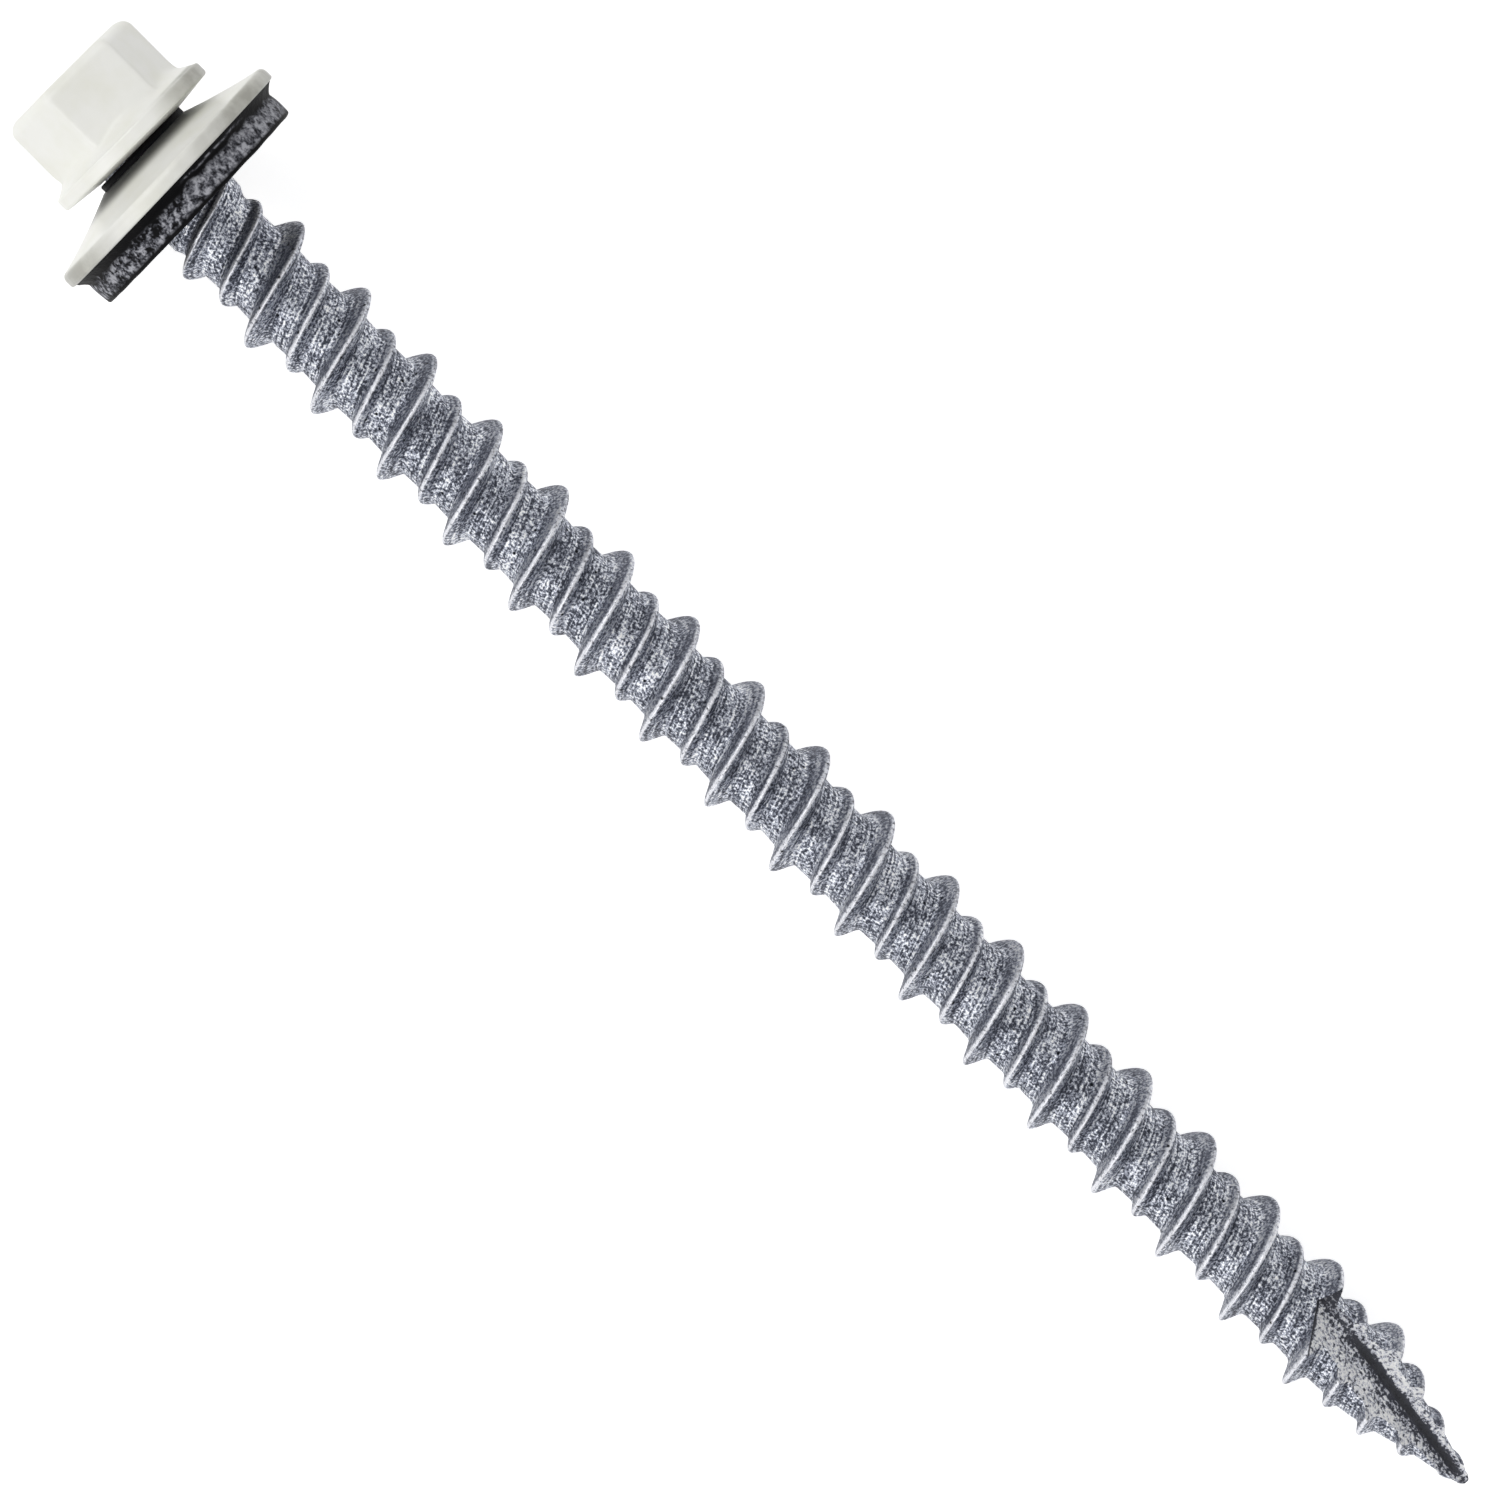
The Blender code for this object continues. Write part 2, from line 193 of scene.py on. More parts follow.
def zincFlakeCoating():
    # Zinc flake coating, dip-spun and baked on a rolled steel thread: a matt grey skin of metal
    # flakes that glints in grains, with pits and rolling lines, rubbed and with a painted highlight
    # along the crests, and painted shade on the ridges' head sides.
    look = zincLook
    material, tree = emptyMaterial("zincFlakeDipSpun")
    place = turnBack(tree)
    grain = addNode(tree, "ShaderNodeTexNoise", {
        "Vector": place, "Scale": 1 / look["grainSize"], "Detail": 2.5, "Roughness": 0.62})
    cloud = addNode(tree, "ShaderNodeTexNoise", {
        "Vector": place, "Scale": 1 / look["cloudSize"], "Detail": 2.0})
    # lines along the thread: noise on a circle that closes once a lead, so that it has no seam
    spot = addNode(tree, "ShaderNodeSeparateXYZ", [place])
    angle = addNode(tree, "ShaderNodeMath", [spot.outputs["Y"], spot.outputs["X"]], operation="ARCTAN2")
    across = addNode(tree, "ShaderNodeMath", [
        spot.outputs["Z"], -2 * math.pi / shank["Lead"], angle], operation="MULTIPLY_ADD")
    circle = shank["Lead"] / (2 * math.pi * look["rollSize"])
    sides = [addNode(tree, "ShaderNodeMath", [
        addNode(tree, "ShaderNodeMath", [across], operation=wave), circle], operation="MULTIPLY")
        for wave in ("COSINE", "SINE")]
    down = addNode(tree, "ShaderNodeMath", [spot.outputs["Z"], look["rollLength"]], operation="DIVIDE")
    rolled = addNode(tree, "ShaderNodeTexNoise", {
        "Vector": addNode(tree, "ShaderNodeCombineXYZ", [*sides, down]), "Scale": 1.0,
        "Detail": 2.0, "Roughness": 0.55})
    clouded = addNode(tree, "ShaderNodeMath", [
        cloud, look["cloudShare"], grain], operation="MULTIPLY_ADD")
    mixed = addNode(tree, "ShaderNodeMath", [
        rolled, look["rollShare"], clouded], operation="MULTIPLY_ADD")
    level = addNode(tree, "ShaderNodeMapRange", [mixed, *look["skinLevels"]])
    colours = paintRamp(addNode(tree, "ShaderNodeValToRGB", {0: level}), [
        (0.28, look["dark"]), (0.50, look["body"]), (0.66, look["light"]), (0.82, look["fleck"])])
    # painted shade on the ridges' head sides: darker and with less grain
    flank = addNode(tree, "ShaderNodeAttribute", attribute_name="flankPaintedShade")
    flankShadeWeight = addNode(tree, "ShaderNodeMath", [
        flank.outputs["Fac"], look["flankShadeShare"]], operation="MULTIPLY")
    flankShaded = addNode(tree, "ShaderNodeMix", {
        0: flankShadeWeight, 6: colours, 7: toLinear(look["flank"])}, data_type="RGBA")
    # the rubbed line with its painted highlight breaks where the grain is low
    crest = addNode(tree, "ShaderNodeAttribute", attribute_name="crestWearAndHighlight")
    broken = addNode(tree, "ShaderNodeMapRange", [grain, *look["lineBreak"]])
    rubbedAndHighlit = addNode(tree, "ShaderNodeMath", [crest.outputs["Fac"], broken], operation="MULTIPLY")
    wornAndHighlit = addNode(tree, "ShaderNodeMix", {
        0: rubbedAndHighlit, 6: flankShaded.outputs[2], 7: toLinear(look["wornAndHighlit"])}, data_type="RGBA")
    cells = addNode(tree, "ShaderNodeTexVoronoi", {"Vector": place, "Scale": 1 / look["pitSize"]})
    hole = addNode(tree, "ShaderNodeMapRange", [cells.outputs["Distance"], *look["pitRim"], 1.0, 0.0])
    some = addNode(tree, "ShaderNodeMath", [
        cells.outputs["Color"], look["pitsLeftOut"]], operation="GREATER_THAN")
    pits = addNode(tree, "ShaderNodeMath", [hole, some], operation="MULTIPLY")
    pitted = addNode(tree, "ShaderNodeMix", {
        0: pits, 6: wornAndHighlit.outputs[2], 7: toLinear(look["pit"])}, data_type="RGBA")
    rough = addNode(tree, "ShaderNodeMapRange", [grain, *look["grainLevels"], *look["roughness"]])
    polished = addNode(tree, "ShaderNodeMix", {0: rubbedAndHighlit, 2: rough, 3: look["rubbedRoughness"]})
    metallic = addNode(tree, "ShaderNodeMath", [
        rubbedAndHighlit, look["rubbedMetallic"] - 1.0, 1.0], operation="MULTIPLY_ADD")
    bump = addNode(tree, "ShaderNodeBump", {
        "Height": mixed, "Strength": 0.9, "Distance": look["relief"] * mm})
    shader = addNode(tree, "ShaderNodeBsdfPrincipled", {
        "Base Color": pitted.outputs[2], "Metallic": metallic, "Roughness": polished, "Normal": bump})
    addNode(tree, "ShaderNodeOutputMaterial", {"Surface": shader})
    return material


def threadTree():
    # A sheet whose rows follow the helix is rolled round the axis. u counts leads along the
    # screw, v goes once round, and the high crest lies where the phase is a whole number.
    tree = bpy.data.node_groups.new("rolledThread", "GeometryNodeTree")
    sockets = {}
    for name in (*shank, *shankSteps, "Coating"):
        kind = "Float" if name in shank else "Int" if name in shankSteps else "Material"
        sockets[name] = tree.interface.new_socket(
            name=name, in_out="INPUT", socket_type="NodeSocket" + kind)
    tree.interface.new_socket(name="Shank", in_out="OUTPUT", socket_type="NodeSocketGeometry")
    known = {socket.name: socket for socket in tree.nodes.new("NodeGroupInput").outputs if socket.name}
    rows = addNode(tree, "ShaderNodeMath", [
        known["Leads"], known["Steps A Lead"], 1.0], operation="MULTIPLY_ADD")
    columns = addNode(tree, "ShaderNodeMath", [known["Steps Round"], 1.0], operation="ADD")
    sheet = addNode(tree, "GeometryNodeMeshGrid", {
        "Size X": known["Leads"], "Size Y": 1.0, "Vertices X": rows, "Vertices Y": columns})
    spot = addNode(tree, "ShaderNodeSeparateXYZ", [addNode(tree, "GeometryNodeInputPosition")])
    known["alongSheet"], known["acrossSheet"] = spot.outputs["X"], spot.outputs["Y"]
    gather = 0.6 / (4 * math.pi)  # rows gather at the two crests, where the section turns sharply
    tipLeft = 0.4  # of the radius stays at the tip's end
    lineRise = 4.0  # the rubbed and highlit line begins that much faster than the ridge
    lineLevel, lineTurn = 1.35, -1.15  # and its painted highlight fades round to the +Y side
    clamped = ("rise", "neckGone", "tipShare", "line", "lineBegun", "highlightFade", "pointShare",
               "HighPast", "HighWithin", "LowPast", "LowWithin")
    # each row makes one Math node: its name, its operation, and what goes in
    steps = [
        ("evenU", "MULTIPLY_ADD", "Leads", 0.5, "alongSheet"),
        ("v", "ADD", "acrossSheet", 0.5),
        ("doubled", "MULTIPLY", "evenU", 4 * math.pi),
        ("wave", "SINE", "doubled"),
        ("u", "MULTIPLY_ADD", "wave", -gather, "evenU"),
        ("firstCrest", "MULTIPLY_ADD", "Lead", -4.0, "Front Crest"),
        ("along", "SUBTRACT", "u", "v"),
        ("rawDepth", "MULTIPLY_ADD", "along", "Lead", "firstCrest"),
        ("pastTop", "MAXIMUM", "rawDepth", "Top Depth"),
        ("depth", "MINIMUM", "pastTop", "Tip Depth"),
        # the phase is taken anew from the depth, so that all rows past an end fall on one ring
        ("fromFirst", "SUBTRACT", "depth", "firstCrest"),
        ("leadsDown", "DIVIDE", "fromFirst", "Lead"),
        ("phase", "ADD", "leadsDown", "v"),
        # the run-out under the head and the plain neck
        ("begun", "SUBTRACT", "depth", "Thread Start"),
        ("rise", "DIVIDE", "begun", "Thread Rise"),
        ("pastNeck", "SUBTRACT", "depth", "Neck End"),
        ("neckGone", "DIVIDE", "pastNeck", "Neck Cone"),
        ("neckShare", "SUBTRACT", 1.0, "neckGone"),
        ("neckStep", "SUBTRACT", "Neck Radius", "Root Radius"),
        ("neckExtra", "MULTIPLY", "neckShare", "neckStep"),
        # the core and the crests narrow on two cones to the point
        ("left", "SUBTRACT", "Tip Depth", "depth"),
        ("coreStep", "SUBTRACT", "Root Radius", "Tip Radius"),
        ("coreSlope", "DIVIDE", "coreStep", "Core Taper"),
        ("coreCone", "MULTIPLY_ADD", "left", "coreSlope", "Tip Radius"),
        ("core", "SMOOTH_MIN", "coreCone", "Root Radius", "Point Blend"),
        ("crestStep", "SUBTRACT", "High Radius", "Tip Radius"),
        ("crestSlope", "DIVIDE", "crestStep", "Ridge Taper"),
        ("crestCone", "MULTIPLY_ADD", "left", "crestSlope", "Tip Radius"),
    ]
    for kind, turn in (("High", 0.5), ("Low", 0.0)):
        steps += [
            # how far a point lies from this crest, measured along the screw
            (kind + "Turn", "ADD", "phase", turn),
            (kind + "Share", "FRACT", kind + "Turn"),
            (kind + "Off", "SUBTRACT", kind + "Share", 0.5),
            ("from" + kind, "MULTIPLY", kind + "Off", "Lead"),
            (kind + "Top", "SMOOTH_MIN", kind + " Radius", "crestCone", "Point Blend"),
            (kind + "Under", "SUBTRACT", "core", kind + " Foot Round"),
            (kind + "Span", "SUBTRACT", kind + "Top", kind + "Under"),
            (kind + "Crest", "MULTIPLY_ADD", kind + "Span", "rise", kind + "Under"),
            (kind + "HeadSide", "MULTIPLY", "from" + kind, kind + " Head Slope"),
            (kind + "TipSide", "MULTIPLY", "from" + kind, kind + " Tip Slope"),
            (kind + "Drop", "SMOOTH_MAX", kind + "HeadSide", kind + "TipSide", kind + " Crest Round"),
            (kind + "Lift", "MULTIPLY_ADD", kind + " Crest Round", 1 / 6, kind + "Crest"),
            (kind + "Ridge", "SUBTRACT", kind + "Lift", kind + "Drop"),
            # how near it is to the rubbed and highlit line, a little to the head side of the crest
            (kind + "Line", "ADD", "from" + kind, "Line Shift"),
            (kind + "Near", "ABSOLUTE", kind + "Line"),
            # 1 on the ridge's head side, which gets a painted shade
            (kind + "Behind", "DIVIDE", "from" + kind, "Flank Edge"),
            (kind + "Past", "MULTIPLY", kind + "Behind", -1.0),
            (kind + "Room", "ADD", "from" + kind, kind + " Flank"),
            (kind + "Within", "DIVIDE", kind + "Room", "Flank Edge"),
            (kind + "Smooth", "MULTIPLY", kind + "Past", kind + "Within"),
        ]
    steps += [
        ("rootTurn", "MULTIPLY", "phase", 2 * math.pi),
        ("rootSwing", "COSINE", "rootTurn"),
        ("root", "MULTIPLY_ADD", "rootSwing", "Root Wave", "core"),
        ("withHigh", "SMOOTH_MAX", "root", "HighRidge", "High Foot Round"),
        ("thread", "SMOOTH_MAX", "withHigh", "LowRidge", "Low Foot Round"),
        ("body", "ADD", "thread", "neckExtra"),
        ("tipShare", "DIVIDE", "left", "Tip Round"),
        ("tipFill", "SQRT", "tipShare"),
        ("tipFactor", "MULTIPLY_ADD", "tipFill", 1 - tipLeft, tipLeft),
        ("radius", "MULTIPLY", "body", "tipFactor"),
        ("turn", "MULTIPLY", "v", 2 * math.pi),
        ("front", "COSINE", "turn"),
        ("side", "SINE", "turn"),
        ("pointShare", "DIVIDE", "left", "Core Taper"),
        ("pointGone", "SUBTRACT", 1.0, "pointShare"),
        ("shift", "MULTIPLY", "pointGone", "Point Shift"),
        ("x", "MULTIPLY", "radius", "front"),
        ("rawY", "MULTIPLY", "radius", "side"),
        ("besideAxis", "SUBTRACT", "rawY", "shift"),
        ("y", "SUBTRACT", "besideAxis", "Side Shift"),
        ("z", "MULTIPLY", "depth", -1.0),
        # the rubbed line with its painted highlight along both crests, faint on one side, and the
        # painted shade on the flanks
        ("near", "MINIMUM", "HighNear", "LowNear"),
        ("lineReach", "ADD", "Crest Line", "Crest Line Edge"),
        ("inLine", "SUBTRACT", "lineReach", "near"),
        ("line", "DIVIDE", "inLine", "Crest Line Edge"),
        ("lineBegun", "MULTIPLY", "rise", lineRise),
        ("highlightFade", "MULTIPLY_ADD", "side", lineTurn, lineLevel),
        ("lineLeft", "MULTIPLY", "lineBegun", "highlightFade"),
        ("crestWearAndHighlight", "MULTIPLY", "line", "lineLeft"),
        ("flank", "MAXIMUM", "HighSmooth", "LowSmooth"),
        ("flankPaintedShade", "MULTIPLY", "flank", "rise"),
    ]
    for name, operation, *terms in steps:
        sources = [known[term] if isinstance(term, str) else term for term in terms]
        known[name] = addNode(
            tree, "ShaderNodeMath", sources, operation=operation, use_clamp=name in clamped).outputs[0]
    marked = sheet
    for name in ("crestWearAndHighlight", "flankPaintedShade"):
        marked = addNode(tree, "GeometryNodeStoreNamedAttribute", {
            "Geometry": marked, "Name": name, "Value": known[name]}, data_type="FLOAT", domain="POINT")
    rolled = addNode(tree, "GeometryNodeSetPosition", {
        "Geometry": marked,
        "Position": addNode(tree, "ShaderNodeCombineXYZ", [known["x"], known["y"], known["z"]])})
    merged = addNode(tree, "GeometryNodeMergeByDistance", {"Geometry": rolled, "Distance": 0.0005 * mm})
    fine = addNode(tree, "ShaderNodeMath", [1.0, known["Uneven Length"]], operation="DIVIDE")
    swell = addNode(tree, "ShaderNodeMath", [
        addNode(tree, "ShaderNodeTexNoise", {"Scale": fine, "Detail": 2.0}), 0.5], operation="SUBTRACT")
    height = addNode(tree, "ShaderNodeMath", [swell, known["Unevenness"]], operation="MULTIPLY")
    push = addNode(tree, "ShaderNodeVectorMath", {
        0: addNode(tree, "GeometryNodeInputNormal"), "Scale": height}, operation="SCALE")
    uneven = addNode(tree, "GeometryNodeSetPosition", {"Geometry": merged, "Offset": push})
    realised = addNode(tree, "GeometryNodeRealizeInstances", {"Geometry": uneven})
    coated = addNode(tree, "GeometryNodeSetMaterial", {
        "Geometry": realised, "Material": known["Coating"]})
    addNode(tree, "NodeGroupOutput", {"Shank": coated})
    return tree, sockets


def evaluatedMesh(piece):
    bpy.context.view_layer.update()
    graph = bpy.context.evaluated_depsgraph_get()
    return bpy.data.meshes.new_from_object(piece.evaluated_get(graph))


def rolledShank(zinc):
    tree, sockets = threadTree()
    carrier = newObject("shankCarrier", bpy.data.meshes.new("shankCarrier"))
    rolling = carrier.modifiers.new("Rolled thread", "NODES")
    rolling.node_group = tree
    for name, size in shank.items():
        rolling[sockets[name].identifier] = size if name in slopes else size * mm
    for name, count in shankSteps.items():
        rolling[sockets[name].identifier] = count
    rolling[sockets["Coating"].identifier] = zinc
    mesh = evaluatedMesh(carrier)
    bpy.data.objects.remove(carrier)
    form = bmesh.new()
    form.from_mesh(mesh)
    for depth in (shank["Top Depth"], shank["Tip Depth"]):
        # each end is an open ring, which closes on its middle
        ring = [e for e in form.edges if e.is_boundary and abs(e.verts[0].co.z + depth * mm) < 0.5 * mm]
        corners = dict.fromkeys(vert for edge in ring for vert in edge.verts)  # keeps its order
        middle = form.verts.new(sum((vert.co for vert in corners), Vector()) / len(corners))
        for edge in ring:
            form.faces.new((*edge.verts, middle))
    for face in form.faces:
        face.material_index = 0  # the nodes count an empty slot before the zinc
    bmesh.ops.recalc_face_normals(form, faces=form.faces)
    return newPiece("rolledShank", form, [zinc])


flute = {
    "length": 11.42,  # mm
    "startFront": 1.24, "startSide": 1.04,  # mm, its floor where it starts
    "tipFront": -0.06, "tipSide": -0.18,  # and at the tip
    "broadLean": 31.0, "steepAngle": 76.0,  # degrees, of its two walls
    "steepBend": 24.0, "bendReach": 2.2,  # degrees a mm, and for how many mm
    "skewDown": 0.58, "skewUp": 0.30, "startBack": 0.5,  # its start runs off the square
    "cell": 0.15,  # mm
    "unevenness": 0.065, "tearSizes": (0.32, 0.9),  # mm, of the torn walls
    "seed": 4,  # or else the tearing would differ from run to run
}

fluteShadeSizes = {
    "height": 0.42, "edge": 0.34, "narrowing": 0.3,  # mm, the painted shade along the floor
    "start": 1.4, "full": 3.8, "least": 0.25,  # mm from the flute's start
    "tipFade": 0.7, "tipFadeFrom": 1.3,  # mm before the tip, over 1 mm
    "startShade": 0.55,  # on the steep wall before the band is full
    "footWidth": 0.20, "broadWidth": 1.1, "broadShade": 0.45,  # mm, on the broad wall
    "stepLength": 0.14,  # mm, the step at the start
    "stepPale": 0.85, "paleFrom": 0.05, "paleOver": 0.35,  # its steep side stays paler
}

fluteLook = {
    # the dark colour is the painted shade deep in the groove
    "dark": "#2B2C31", "shade": "#3C3E48", "body": "#C6C9D6", "light": "#FFFFFF",
    "grainSize": 0.16, "streakSize": 0.32,  # mm
    "streakShare": 0.40, "deepShade": -0.35, "levels": (0.46, 0.90),
    "streakTurn": 25, "streakStretch": (1.2, 1.5, 0.6),  # degrees
    "raggedness": 0.9, "grooveShadeLevels": (1.02, 1.66), "grooveShadeMost": 0.94,
    "relief": 0.13,  # mm
    "roughness": 0.42, "metallic": 0.15,  # torn flakes scatter most of the light
}


def milledZinc():
    # The same coating over the rough milled flute: frosty torn streaks on both walls, and painted
    # shade, dark and ragged, at the foot of the steep one down in the groove.
    look = fluteLook
    material, tree = emptyMaterial("zincOverMilledSteel")
    place = turnBack(tree)
    grain = addNode(tree, "ShaderNodeTexNoise", {
        "Vector": place, "Scale": 1 / look["grainSize"], "Detail": 3.0, "Roughness": 0.65})
    drawn = addNode(tree, "ShaderNodeMapping", {
        "Vector": place, "Rotation": (math.radians(look["streakTurn"]), 0.0, 0.0),
        "Scale": look["streakStretch"]})
    streak = addNode(tree, "ShaderNodeTexNoise", {
        "Vector": drawn, "Scale": 1 / look["streakSize"], "Detail": 2.0, "Distortion": 0.8})
    mixed = addNode(tree, "ShaderNodeMath", [
        streak, look["streakShare"], grain], operation="MULTIPLY_ADD")
    deep = addNode(tree, "ShaderNodeAttribute", attribute_name="flutePaintedShade")
    shaded = addNode(tree, "ShaderNodeMath", [
        deep.outputs["Fac"], look["deepShade"], mixed], operation="MULTIPLY_ADD")
    level = addNode(tree, "ShaderNodeMapRange", [shaded, *look["levels"]])
    frost = paintRamp(addNode(tree, "ShaderNodeValToRGB", {0: level}), [
        (0.25, look["shade"]), (0.42, look["body"]), (0.68, look["light"])])
    # the painted shade turns dark and ragged deep in the groove
    ragged = addNode(tree, "ShaderNodeMath", [
        mixed, look["raggedness"], deep.outputs["Fac"]], operation="MULTIPLY_ADD")
    corner = addNode(tree, "ShaderNodeMapRange", [ragged, *look["grooveShadeLevels"], 0.0, look["grooveShadeMost"]])
    grooveShaded = addNode(tree, "ShaderNodeMix", {
        0: corner, 6: frost, 7: toLinear(look["dark"])}, data_type="RGBA")
    bump = addNode(tree, "ShaderNodeBump", {
        "Height": mixed, "Strength": 1.0, "Distance": look["relief"] * mm})
    shader = addNode(tree, "ShaderNodeBsdfPrincipled", {
        "Base Color": grooveShaded.outputs[2], "Metallic": look["metallic"], "Roughness": look["roughness"],
        "Normal": bump})
    addNode(tree, "ShaderNodeOutputMaterial", {"Surface": shader})
    return material


fluteStart = Vector((
    flute["startFront"], flute["startSide"], flute["length"] - shank["Tip Depth"])) * mm
fluteEnd = Vector((
    flute["tipFront"], flute["tipSide"] - shank["Point Shift"], -shank["Tip Depth"])) * mm


def fluteCutter(milled):
    # A long wedge with its edge along the floor of the flute. Its two cutting walls are fine
    # grids, roughened as the mill left them; the steep one curls over towards the viewer.
    along = (fluteEnd - fluteStart).normalized()
    length = (flute["length"] + shank["Lead"]) * mm
    width = 2 * shank["High Radius"] * mm
    across, down = round(width / mm / flute["cell"]), round(length / mm / flute["cell"])
    step = width / across
    lean = math.radians(flute["broadLean"])
    broad = Vector((math.sin(lean), -math.cos(lean), flute["skewDown"] * -math.cos(lean)))
    curl, bend = [Vector()], 0.0
    for k in range(across):
        bend = min(k * step / mm, flute["bendReach"]) * flute["steepBend"]
        angle = math.radians(flute["steepAngle"] - bend)
        outward = Vector((math.cos(angle), math.sin(angle), -flute["skewUp"] * math.sin(angle)))
        curl.append(curl[-1] + outward * step)
    form = bmesh.new()
    verts = {}
    noise.seed_set(flute["seed"])

    def corner(i, j, k):
        # i steps along the floor, j out on the broad wall, k out on the steep wall
        if (i, j, k) not in verts:
            point = fluteStart + along * (length * i / down) + broad * (step * j) + curl[k]
            if 0 < i < down and (j == 0 or k == 0):
                fine, coarse = (noise.noise_vector(point / (size * mm)) for size in flute["tearSizes"])
                point = point + (fine + coarse) * flute["unevenness"] * mm
            verts[i, j, k] = form.verts.new(point)
        return verts[i, j, k]

    for i in range(down):
        for j in range(across):
            square = ((i, j), (i + 1, j), (i + 1, j + 1), (i, j + 1))
            form.faces.new([corner(a, b, 0) for a, b in square])
            form.faces.new([corner(a, 0, b) for a, b in square])
    # the outer sides and ends lie clear of the steel, apart from the short step at the start,
    # which leans back towards the head
    far = [corner(i, across, across) for i in (0, down)]
    far[0].co.z = fluteStart.z + flute["startBack"] * mm
    for i, outer in ((0, far[0]), (down, far[1])):
        for j in range(across):
            form.faces.new((corner(i, j, 0), corner(i, j + 1, 0), outer))
            form.faces.new((corner(i, 0, j), corner(i, 0, j + 1), outer))
    for side in ([(i, across, 0) for i in range(down + 1)], [(i, 0, across) for i in range(down + 1)]):
        form.faces.new([corner(*key) for key in side] + [far[1], far[0]])
    bmesh.ops.recalc_face_normals(form, faces=form.faces)
    return newPiece("fluteCutter", form, [milled])


def fluteShade(spot):
    # Painted shade: 1 in the dark band at the foot of the steep wall and on the step at the start,
    # and a little on the broad wall
    dark = fluteShadeSizes
    share = (fluteStart.z - spot.z) / (fluteStart.z - fluteEnd.z)
    floor = fluteStart.lerp(fluteEnd, share)
    out = (spot - floor) / mm
    reach = out.xy.length
    run = share * flute["length"]
    full = easeIn((run - dark["start"]) / (dark["full"] - dark["start"]))
    full *= 1 - dark["tipFade"] * easeIn(run - flute["length"] + dark["tipFadeFrom"])
    strength = dark["least"] + (1 - dark["least"]) * full
    if out.y > 0:
        height = dark["height"] * (1 - dark["narrowing"] * share)
        band = easeIn((height - reach) / dark["edge"] + 0.5) * strength
        band = max(band, dark["startShade"] * easeIn(1 - run / dark["full"]))
    else:
        wide = dark["broadShade"] * easeIn(1 - reach / dark["broadWidth"])
        band = max(easeIn(1 - reach / dark["footWidth"]), wide) * strength
    skew = flute["skewDown"] * -out.y if out.y < 0 else flute["skewUp"] * out.y
    if run - skew >= dark["stepLength"]:
        return band
    return max(band, 1 - dark["stepPale"] * easeIn((out.y - dark["paleFrom"]) / dark["paleOver"]))


def cutShank():
    zinc, milled = zincFlakeCoating(), milledZinc()
    piece = rolledShank(zinc)
    cutter = fluteCutter(milled)
    cut = piece.modifiers.new("Milled flute", "BOOLEAN")
    cut.operation = "DIFFERENCE"
    cut.object = cutter
    cut.solver = "EXACT"
    cut.material_mode = "TRANSFER"
    mesh = evaluatedMesh(piece)
    for used in (piece, cutter):
        bpy.data.objects.remove(used)
    form = bmesh.new()
    form.from_mesh(mesh)
    # painted shade in the flute's groove, from how far a point lies from its floor
    deep = form.verts.layers.float.new("flutePaintedShade")
    for vert in form.verts:
        if any(face.material_index for face in vert.link_faces):
            vert[deep] = fluteShade(vert.co)
    bmesh.ops.transform(form, matrix=layDown, verts=form.verts)
    for face in form.faces:
        face.smooth = True
    for edge in form.edges:
        edge.smooth = len({face.material_index for face in edge.link_faces}) < 2
    piece = newPiece("threadedShank", form, [zinc, milled])
    print("shank:", len(piece.data.polygons), "faces, of the flute:",
          sum(face.material_index == 1 for face in piece.data.polygons))
    return piece


shankPiece = cutShank()


head = {
    "acrossFlats": 6.54, "hexHeight": 3.23, "topRound": 0.60, "cornerRound": 0.24, "turn": 8.6,
    "cornerOpening": 0.4,  # of the corners' rounding as the top rounds over
    "skirtHeight": 0.59, "skirtBlend": 0.30, "skirtBend": 1.5, "skirtOverlap": 0.35, "skirtInset": 0.15,
    "flangeDiameter": 8.92, "flangeThickness": 0.70, "flangeRound": 0.16, "flangeCone": 0.19,
    "hexOffset": 0.04, "flangeOffset": 0.15,  # mm, the head was upset a little off the axis
    "collarDiameter": 5.08, "segments": 240,
    "topRings": (0.35, 0.7, 0.9), "underRings": (0.66, 0.33, 0.0), "underMiddle": 0.6,
    "rimReach": 0.35, "rimEdge": 0.2,  # mm, painted shade on the flange's rim
    "rimTurn": 15, "rimFade": 45,  # degrees round from the viewer, and over how many
}

paintLook = {
    # the edge colour is the painted shade on the rims
    "body": "#F8F8F3", "warm": "#F2F2E9", "speck": "#B9B7AC", "edge": "#A6A59C",
    # the colour of the painted shadow on the cap round the collar
    "flangeShadow": "#2A2B31",
    "cloudSize": 2.2,  # mm
    "blotches": 1.1,  # in a mm, of the patches that vary the painted rim shade
    "blotchLevels": (0.34, 0.60), "blotchLeast": 0.70,
    "peelSize": 0.45, "peelHeight": 0.02,  # mm, orange peel of the baked film
    "speckSize": 0.30,  # mm between specks
    "speckLevels": (0.775, 0.83),
    "roughness": 0.30,
}


